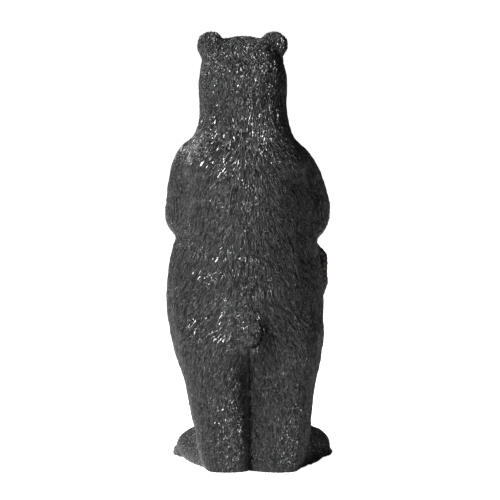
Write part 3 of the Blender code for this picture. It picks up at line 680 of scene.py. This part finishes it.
def fine_hair():
    """Thin combed strokes finer than the mesh: the highest of several layers, a stroke to a cell."""
    group = bpy.data.node_groups.new("fine_hair", "ShaderNodeTree")
    for label, kind in (("Place", "Vector"), ("Comb", "Vector"), ("Normal", "Vector"), ("Turn", "Float")):
        group.interface.new_socket(label, in_out="INPUT", socket_type="NodeSocket" + kind)
    group.interface.new_socket("Strokes", in_out="OUTPUT", socket_type="NodeSocketFloat")
    tree = Tree(group)
    given = tree.add("NodeGroupInput").outputs
    result = tree.add("NodeGroupOutput")
    sideways = tree.vector("CROSS_PRODUCT", given["Normal"], given["Comb"])
    highest = 0.0
    for layer in range(HAIR_LAYERS):
        shift = tuple(step * layer for step in HAIR_SHIFT)
        inputs = {"Vector": given["Place"], "Scale": HAIR_CELLS, "Location": shift}
        grid = tree.add("ShaderNodeMapping", inputs)
        cell = tree.add("ShaderNodeTexVoronoi", {"Vector": grid.outputs["Vector"], "Scale": 1.0})
        luck = tree.add("ShaderNodeSeparateColor", {"Color": cell.outputs["Color"]}).outputs
        offset = tree.vector("SUBTRACT", grid.outputs["Vector"], cell.outputs["Position"])
        offset = tree.vector("DIVIDE", offset, HAIR_CELLS)
        turn = tree.sum("MULTIPLY", tree.sum("MULTIPLY_ADD", luck[0], 2.0, -1.0), given["Turn"])
        cosine = tree.sum("COSINE", turn)
        sine = tree.sum("SINE", turn)
        way = tree.vector("ADD", tree.scaled(given["Comb"], cosine), tree.scaled(sideways, sine))
        across = tree.vector("SUBTRACT", tree.scaled(sideways, cosine), tree.scaled(given["Comb"], sine))
        along = tree.sum("DIVIDE", tree.vector("DOT_PRODUCT", offset, way), HAIR_LENGTH / 2)
        aside = tree.sum("DIVIDE", tree.vector("DOT_PRODUCT", offset, across), HAIR_WIDTH / 2)
        bend = tree.sum("MULTIPLY_ADD", luck[1], 1.6, -0.8)
        bend = tree.sum("MULTIPLY", bend, tree.sum("POWER", along, 2.0))
        ridge = tree.sum("SUBTRACT", 1.0, tree.sum("ABSOLUTE", tree.sum("ADD", aside, bend)), use_clamp=True)
        ends = tree.sum("SUBTRACT", 1.0, tree.sum("POWER", tree.sum("ABSOLUTE", along), 3.0), use_clamp=True)
        top = tree.sum("MULTIPLY_ADD", luck[2], 0.6, 0.4)
        highest = tree.sum("MAXIMUM", highest, tree.sum("MULTIPLY", tree.sum("MULTIPLY", ridge, ends), top))
    tree.join(highest, result.inputs["Strokes"])
    return group


def painted(name, attribute):
    """A new material: its tree, its finish group fed by an attribute, and its shader."""
    material = bpy.data.materials.get(name) or bpy.data.materials.new(name)
    material.use_nodes = True
    tree = Tree(material.node_tree)
    finish = tree.add("ShaderNodeGroup", node_tree=finish_group)
    tree.join(tree.add("ShaderNodeTexCoord").outputs["Object"], finish.inputs["Place"])
    height = tree.add("ShaderNodeAttribute", attribute_name=attribute)
    tree.join(height.outputs["Fac"], finish.inputs["Height"])
    return material, tree, finish.outputs, material.node_tree.nodes["Principled BSDF"]


def bumped(tree, height, depth, shader):
    """A fine relief in the material only, its depth in metres."""
    bump = tree.add("ShaderNodeBump", {"Height": height, "Strength": 1.0, "Distance": depth})
    tree.join(bump.outputs["Normal"], shader.inputs["Normal"])


finish_group = hand_finish()
casting_paint, coat, finish, shader = painted("brushed_black_casting", "fur_height")


def kept_on_skin(name, output="Fac"):
    """A value kept on the casting's mesh, read in its material."""
    return coat.add("ShaderNodeAttribute", attribute_name=name).outputs[output]


hair_group = fine_hair()
hair = coat.add(
    "ShaderNodeGroup",
    {
        "Place": coat.add("ShaderNodeTexCoord").outputs["Object"],
        "Comb": kept_on_skin("comb", "Vector"),
        "Normal": coat.add("ShaderNodeNewGeometry").outputs["Normal"],
        "Turn": coat.sum("MULTIPLY_ADD", kept_on_skin("short_hair"), 0.5, 0.22),
    },
    node_tree=hair_group,
)
strokes = coat.sum("MULTIPLY", hair.outputs["Strokes"], kept_on_skin("furred"))
high = coat.sum("MULTIPLY_ADD", kept_on_skin("fur_height"), LOCK_SHARE, strokes)
coat.join(high, finish["Brushed"].node.inputs["Height"])
coat.join(blend(coat, finish["Brushed"], BLACK, SILVER), shader.inputs["Base Color"])
gloss = coat.add("ShaderNodeMapRange", {0: finish["Brushed"], 3: BLACK_ROUGHNESS, 4: SILVER_ROUGHNESS})
coat.join(coat.sum("MULTIPLY_ADD", finish["Patches"], 0.06, gloss.outputs[0]), shader.inputs["Roughness"])
lumps = noise(coat, coat.add("ShaderNodeTexCoord").outputs["Object"], LUMP_SCALE, 1.5)
relief = coat.sum("MULTIPLY_ADD", lumps, LUMP_SHARE, strokes)
bumped(coat, coat.sum("MULTIPLY_ADD", finish["Grain"], 0.02, relief), HAIR_DEPTH, shader)
for bear in bears:
    bear.data.materials.append(casting_paint)
    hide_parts("bear")
    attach(bear, "root")


# Twenty claws stand over those of the casting, four paws with five each. They are cast with the bear
# and painted a darker, smoother horn black, worn a little paler at the tips.

CLAW_RADIUS = 0.0050
CLAW_BEND = 0.16
CLAW_LENGTH = 2.4
CLAW_METRES = 0.0146
CLAW_TIP_HEIGHT = 0.55
TOE_RADIUS = 1.5
TOE_SHARES = np.linspace(-0.5, 0.5, 5)
PAW_SPREAD = 6.4
PAW_ARCH = 2.2
FOOT_SPREAD = 8.8
FOOT_ARCH = 5.2
HORN_ROOT = (0.006, 0.0055, 0.005, 1)
HORN_TIP = (0.022, 0.019, 0.016, 1)
HORN_WORN = (0.040, 0.036, 0.032, 1)


def claw_rows():
    """Where each claw starts and how far it reaches: under the sign's paws, then on the feet."""
    rows = []
    for x, _, z in WRISTS:
        middle_z = z - 0.6
        for share in TOE_SHARES:
            level = middle_z - 1.6 + PAW_ARCH * (0.25 - share**2)
            knuckle = np.array((x + PAW_SPREAD * share, SIGN_FRONT - 1.6, level))
            root = knuckle + (0, -0.5, -0.8)
            rows.append((root, knuckle + (-math.copysign(0.3, x), 0.7, -1.2 - CLAW_LENGTH) - root))
    for heel, tip in FOOT_ROWS:
        forward = np.array((tip[0] - heel[0], tip[1] - heel[1], 0.0))
        forward /= np.linalg.norm(forward)
        across = np.array((-forward[1], forward[0], 0.0))
        for share in TOE_SHARES:
            toe = np.array((*tip, 0.0)) + across * (FOOT_SPREAD * share)
            toe += forward * (1.9 - FOOT_ARCH * share**2)
            root = np.array((*(toe + forward * (TOE_RADIUS * 0.5))[:2], TOE_RADIUS * 1.3))
            end = root + forward * (CLAW_LENGTH * 1.05)
            end[2] = CLAW_TIP_HEIGHT
            rows.append((root, end - root))
    return rows


def claw_tree():
    """A curved, tapering claw set on each point along its reach. It is drawn one long, then made smaller."""
    inputs = (("Radius", "Float", 0.005), ("Bend", "Float", 0.16), ("Material", "Material", None))
    tree, given, result = modifier_tree("claws", inputs)
    size = given.outputs
    spine = tree.add(
        "GeometryNodeCurveQuadraticBezier",
        {"Resolution": 14, "Start": (0, 0, 0), "End": (1, 0, 0)},
    )
    arch = tree.add("ShaderNodeCombineXYZ", {"X": 0.45, "Z": tree.sum("MULTIPLY", size["Bend"], 2.0)})
    tree.join(arch.outputs["Vector"], spine.inputs["Middle"])
    factor = tree.add("GeometryNodeSplineParameter").outputs["Factor"]
    marked = tree.add(
        "GeometryNodeStoreNamedAttribute",
        {"Geometry": spine.outputs["Curve"], "Name": "toward_tip", "Value": factor},
        data_type="FLOAT",
        domain="POINT",
    )
    thin = tree.sum("POWER", tree.sum("SUBTRACT", 1.0, tree.sum("MULTIPLY", factor, 0.97)), 0.6)
    shaped = tree.add("GeometryNodeSetCurveRadius", {"Curve": marked.outputs["Geometry"], "Radius": thin})
    reach = tree.add("GeometryNodeInputNamedAttribute", {"Name": "reach"}, data_type="FLOAT_VECTOR")
    reach = reach.outputs["Attribute"]
    length = tree.vector("LENGTH", reach)
    ring = tree.add("GeometryNodeCurvePrimitiveCircle", {"Resolution": 14})
    tree.join(tree.sum("DIVIDE", size["Radius"], CLAW_METRES), ring.inputs["Radius"])
    tube = tree.add(
        "GeometryNodeCurveToMesh",
        {"Curve": shaped.outputs["Curve"], "Profile Curve": ring.outputs["Curve"], "Fill Caps": True},
    )
    turned = tree.add("FunctionNodeAlignRotationToVector", {"Vector": reach}, axis="X", pivot_axis="AUTO")
    claws = tree.add(
        "GeometryNodeInstanceOnPoints",
        {
            "Points": size["Geometry"],
            "Instance": tube.outputs["Mesh"],
            "Rotation": turned.outputs["Rotation"],
        },
    )
    even = tree.add("ShaderNodeCombineXYZ", {"X": length, "Y": length, "Z": length})
    tree.join(even.outputs["Vector"], claws.inputs["Scale"])
    tree.close(claws.outputs["Instances"], size["Material"], result)
    return tree.tree


horn, coat, finish, shader = painted("horn_black", "toward_tip")
tip = coat.add("ShaderNodeAttribute", attribute_name="toward_tip").outputs["Fac"]
horn_colour = blend(coat, coat.sum("POWER", tip, 1.8), HORN_ROOT, HORN_TIP)
worn = coat.sum("MULTIPLY", finish["Brushed"], 0.4)
coat.join(blend(coat, worn, horn_colour, HORN_WORN), shader.inputs["Base Color"])
coat.join(coat.sum("MULTIPLY_ADD", finish["Patches"], 0.25, 0.18), shader.inputs["Roughness"])
bumped(coat, finish["Grain"], 0.00004, shader)
rows = claw_rows()
claw_points = bmesh.new()
for root, _ in rows:
    claw_points.verts.new(in_metres(root))
claws = new_piece("claws", claw_points)
give_attribute(claws.data, "reach", "FLOAT_VECTOR", np.array([reach * POSE_UNIT for _, reach in rows]))
claws = grown(claws, claw_tree(), {"Radius": CLAW_RADIUS, "Bend": CLAW_BEND, "Material": horn})
claws.data.shade_smooth()
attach(claws, "root")


# The nose is part of the casting too, painted a smoother black with a soft shine. It has two
# nostrils that curl outwards, and the pebbled skin of a bear's nose.

NOSE_RADII = (2.5, 1.6, 1.8)
NOSTRIL = {"aside": 0.46, "level": 0.12, "slant": 0.35, "width": 0.26, "height": 0.30, "depth": 0.42}
CLEFT = {"width": 0.09, "depth": 0.16, "top": 0.1}
PEBBLE_SCALE = 620.0
# The nose's colours: painted shade for the pits between the pebbles, and the pebbles' own dark tops
NOSE_PIT_SHADE = (0.006, 0.006, 0.006, 1)
NOSE_PEBBLES = (0.020, 0.019, 0.019, 1)

nose_data = bmesh.new()
bmesh.ops.create_uvsphere(nose_data, u_segments=56, v_segments=36, radius=1)
for vertex in nose_data.verts:
    x, y, z = vertex.co
    aside = abs(x) - NOSTRIL["aside"]
    upward = z + NOSTRIL["level"] - NOSTRIL["slant"] * aside
    gap = (aside / NOSTRIL["width"]) ** 2 + (upward / NOSTRIL["height"]) ** 2
    pull = NOSTRIL["depth"] * math.exp(-gap)
    pull += CLEFT["depth"] * math.exp(-((x / CLEFT["width"]) ** 2)) * (z < CLEFT["top"])
    if y < 0:
        vertex.co.y += pull
    vertex.co.x *= 1 - 0.14 * max(0, -z)
    stretched = Vector([along * radius for along, radius in zip(vertex.co, NOSE_RADII)])
    vertex.co = Vector(in_metres(Vector(NOSE) + stretched))
nose = new_piece("nose_pad", nose_data)
nose.data.shade_smooth()
nose_paint, coat, finish, shader = painted("nose_black", "fur_height")
cells = coat.add("ShaderNodeTexVoronoi", {"Scale": PEBBLE_SCALE}, feature="DISTANCE_TO_EDGE")
coat.join(coat.add("ShaderNodeTexCoord").outputs["Object"], cells.inputs["Vector"])
pebbles = coat.sum("MULTIPLY", cells.outputs["Distance"], 4.0, use_clamp=True)
# The pits between the pebbles are painted darker than their tops, as painted shade in the hollows.
coat.join(blend(coat, pebbles, NOSE_PIT_SHADE, NOSE_PEBBLES), shader.inputs["Base Color"])
coat.join(coat.sum("MULTIPLY_ADD", finish["Patches"], 0.2, 0.16), shader.inputs["Roughness"])
bumped(coat, coat.sum("MULTIPLY_ADD", finish["Grain"], 0.2, pebbles), 0.00012, shader)
nose.data.materials.append(nose_paint)
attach(nose, "root")


# The eyes are balls cast behind the lids of the head. Each is painted by hand, a ring of dark brown
# round a black pupil, and lacquered, so it is the glossiest place of the statue.

EYE_PROUD = 1.03
PUPIL_ASIDE = 0.3
PUPIL = (0.002, 0.002, 0.002, 1)
EYE_RINGS = (
    (0.24, PUPIL),
    (0.29, (0.016, 0.006, 0.003, 1)),
    (0.42, (0.028, 0.011, 0.004, 1)),
    (0.52, (0.005, 0.003, 0.002, 1)),
)
EYE_RIM = (0.006, 0.005, 0.004, 1)
EYE_SHADE = (0.004, 0.002, 0.002, 1)

eyes_data = bmesh.new()
for middle in eye_places:
    radius = EYE_RADIUS * EYE_PROUD * POSE_UNIT
    eye = bmesh.ops.create_uvsphere(eyes_data, u_segments=40, v_segments=28, radius=radius)
    bmesh.ops.translate(eyes_data, verts=eye["verts"], vec=in_metres(middle))
eyes = new_piece("eyes", eyes_data)
eyes.data.shade_smooth()
eye_points, eye_normals = points_of(eyes.data)
asides = np.where(eye_points[:, 0] > in_metres((HEAD_X, 0, 0))[0], PUPIL_ASIDE, -PUPIL_ASIDE)
looks = np.stack((asides, -np.ones(len(asides)), np.zeros(len(asides))), 1)
looks /= np.linalg.norm(looks, axis=1)[:, None]
from_pupil = np.degrees(np.arccos(np.clip((eye_normals * looks).sum(1), -1, 1)))
give_attribute(eyes.data, "from_pupil", "FLOAT", from_pupil)
eye_paint, coat, finish, shader = painted("eye_lacquer", "from_pupil")
angle = coat.add("ShaderNodeAttribute", attribute_name="from_pupil").outputs["Fac"]
iris = coat.add("ShaderNodeValToRGB", {"Fac": coat.sum("DIVIDE", angle, 90.0)})
for position, colour in EYE_RINGS:
    stop = iris.color_ramp.elements.new(position)
    stop.color = colour
iris.color_ramp.elements[0].color = PUPIL
iris.color_ramp.elements[-1].color = EYE_RIM
brown = blend(coat, coat.sum("MULTIPLY", finish["Patches"], 0.5), iris.outputs["Color"], EYE_SHADE)
coat.join(brown, shader.inputs["Base Color"])
coat.join(coat.sum("MULTIPLY_ADD", finish["Grain"], 0.05, 0.05), shader.inputs["Roughness"])
eyes.data.materials.append(eye_paint)
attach(eyes, "root")


# The sign is a slice of log about 16 mm thick with its bark left on, stained reddish brown. The paws
# hold it by its top edge. Its faces are bare and show growth rings and drying cracks.

SIGN_SIZE = (0.214, 0.164)
SIGN_PLACE = (-1.1, 41.9)
SIGN_VOXEL = 0.0013
RING_SPACING = 0.0052
RING_RELIEF = 0.00022
CRACK_WIDTH = 0.0009
CRACK_DEPTH = 0.0012
PITH = (0.10, 0.06)
BARK_SHARE = 0.90
BARK_RELIEF = 0.0006
EARLY_WOOD = (0.048, 0.016, 0.012, 1)
LATE_WOOD = (0.014, 0.005, 0.005, 1)
DARK_PATCH = (0.022, 0.009, 0.008, 1)
# The colour inside the drying cracks is painted shade
CRACK_PAINTED_SHADE = (0.006, 0.004, 0.004, 1)
BARK_LOW = (0.004, 0.003, 0.003, 1)
BARK_HIGH = (0.020, 0.011, 0.010, 1)

# The drying cracks: an angle round the pith, and where each starts and stops on its way to the bark
CRACKS = (
    (0.35, 0.20, 0.98),
    (1.55, 0.45, 1.0),
    (2.65, 0.15, 0.8),
    (3.9, 0.35, 0.97),
    (4.75, 0.1, 0.7),
    (5.6, 0.5, 0.95),
)

sign_low, sign_high = (np.array(corner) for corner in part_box("wooden_sign"))
sign_x = SIGN_PLACE[0] * POSE_UNIT + POSE_SHIFT[0]
sign_middle = np.array((sign_x, (sign_low[1] + sign_high[1]) / 2, SIGN_PLACE[1] * POSE_UNIT))


def log_marks(points):
    """What each point of the log is: its ring, how deep in a crack, how much bark, and its angle."""
    flat = (points - sign_middle)[:, (0, 2)]
    share = flat / (np.array(SIGN_SIZE) / 2)
    turn = np.arctan2(share[:, 1], share[:, 0])
    rim = np.linalg.norm(share, axis=1)
    pith = flat - np.array(PITH) * np.array(SIGN_SIZE) / 2
    around = np.arctan2(pith[:, 1], pith[:, 0])
    span = np.linalg.norm(pith * (1, 1.28), axis=1)
    wobble = 0.0016 * np.sin(3 * around + 1.0) + 0.0011 * np.sin(7 * around + span * 60)
    wobble += 0.0006 * np.sin(13 * around)
    rings = (span + wobble * np.clip(span / 0.03, 0, 1)) / RING_SPACING
    crack = np.zeros(len(points))
    for angle, start, stop in CRACKS:
        bent = angle + 0.10 * np.sin(span * 130 + angle * 7) + 0.05 * np.sin(span * 320 + angle)
        gap = np.abs(np.angle(np.exp(1j * (around - bent)))) * span
        width = CRACK_WIDTH * np.clip((rim - start) / 0.15, 0, 1) * (0.5 + 0.5 * rim)
        depth = np.clip(1 - gap / np.maximum(width, 1e-6), 0, 1) * (rim > start) * (rim < stop)
        crack = np.maximum(crack, depth)
    return rings, crack, np.clip((rim - BARK_SHARE) / 0.03, 0, 1), turn


slice_of_log = copy_of("wooden_sign", "sign_slice")
even = slice_of_log.modifiers.new("even", "REMESH")
even.mode = "VOXEL"
even.voxel_size = SIGN_VOXEL
soften = slice_of_log.modifiers.new("soften", "SMOOTH")
soften.iterations = 2
slice_of_log.modifiers.new("triangles", "TRIANGULATE")
slice_of_log = finished(slice_of_log)
log_points, log_normals = points_of(slice_of_log.data)
rings, crack, bark, turn = log_marks(log_points)
faces_out = np.abs(log_normals[:, 1])
relief = RING_RELIEF * np.sin(2 * np.pi * rings) * (1 - bark) - CRACK_DEPTH * crack
relief += bark * BARK_RELIEF * (np.sin(turn * 47 + log_points[:, 1] * 300) * np.sin(turn * 23 + 1) - 0.3)
log_points += log_normals * (relief * np.maximum(faces_out, bark))[:, None]
slice_of_log.data.vertices.foreach_set("co", log_points.ravel())
give_attribute(slice_of_log.data, "rings", "FLOAT", rings)
give_attribute(slice_of_log.data, "crack", "FLOAT", crack)
give_attribute(slice_of_log.data, "bark", "FLOAT", bark)
slice_of_log.data.shade_smooth()

stained_wood, wood, finish, shader = painted("stained_log", "bark")
where = wood.add("ShaderNodeTexCoord").outputs["Object"]


def mark(name):
    """A number kept on the mesh, read in the material."""
    return wood.add("ShaderNodeAttribute", attribute_name=name).outputs["Fac"]


late = wood.sum("POWER", wood.sum("FRACT", wood.sum("ADD", mark("rings"), noise(wood, where, 40.0))), 2.5)
pores = noise(wood, where, 700.0, 2.0)
stain = blend(wood, late, EARLY_WOOD, LATE_WOOD)
stain = blend(wood, wood.sum("MULTIPLY", finish["Patches"], 0.6), stain, DARK_PATCH)
# The cracks are painted nearly black inside, as painted shade in their depth.
stain = blend(wood, wood.sum("MULTIPLY", mark("crack"), 0.9), stain, CRACK_PAINTED_SHADE)
crust = blend(wood, noise(wood, where, 160.0), BARK_LOW, BARK_HIGH)
wood.join(blend(wood, mark("bark"), stain, crust), shader.inputs["Base Color"])
wood.join(wood.sum("MULTIPLY_ADD", finish["Patches"], 0.25, 0.34), shader.inputs["Roughness"])
bumped(wood, wood.sum("MULTIPLY_ADD", finish["Grain"], 0.3, wood.sum("ADD", pores, late)), 0.00015, shader)
slice_of_log.data.materials.append(stained_wood)
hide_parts("wooden_sign")
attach(slice_of_log, "root")
